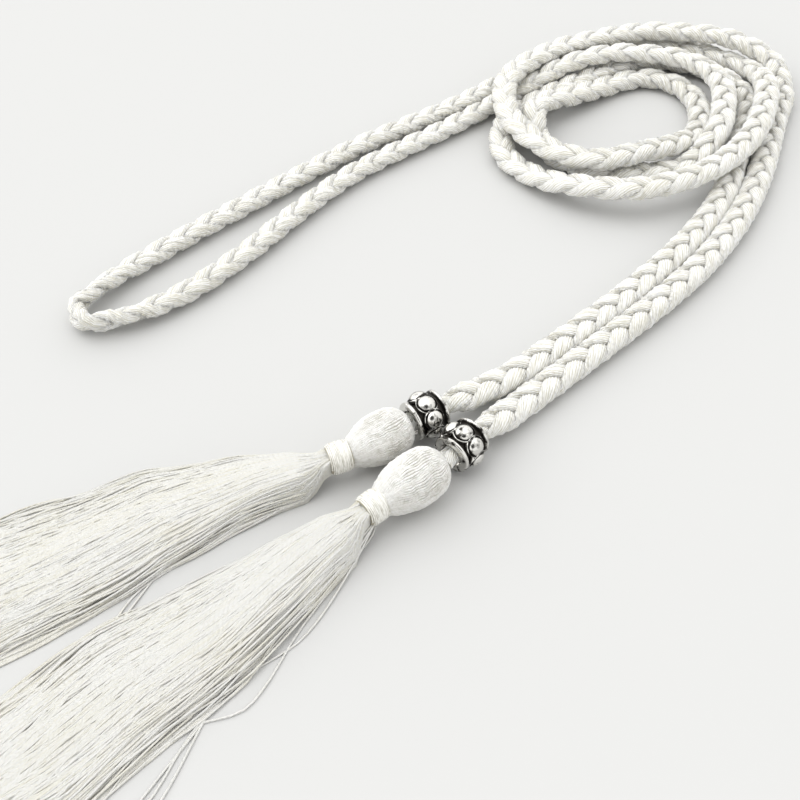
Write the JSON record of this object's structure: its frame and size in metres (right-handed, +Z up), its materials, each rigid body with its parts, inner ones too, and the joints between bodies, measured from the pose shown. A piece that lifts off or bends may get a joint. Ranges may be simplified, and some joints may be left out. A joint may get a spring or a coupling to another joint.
{
  "type": "braided cord belt with beaded tassels",
  "caption": "Long flat braided satin cord belt, folded in half and laid in a loose coil, each end run through a studded metal bead into a knobbed thread tassel.",
  "frame": {"origin": "on the surface the belt lies on, under the middle of its outline", "axes": "+X from the tassels to the coil, along the belt as it lies; +Z up from the surface"},
  "size_m": [0.354, 0.1324, 0.0138],
  "materials": {
    "satin_cord": "satin",
    "satin_thread": "satin",
    "loose_thread": "satin",
    "aged_silver": "polished, with blackened hollows"
  },
  "bodies": {
    "root": {"braid": "satin_cord", "front_bead": "aged_silver", "rear_bead": "aged_silver", "front_knob": "satin_thread", "rear_knob": "satin_thread", "front_neck_binding": "satin_thread", "rear_neck_binding": "satin_thread", "front_skirt": "loose_thread", "rear_skirt": "loose_thread"}
  },
  "joints": []
}
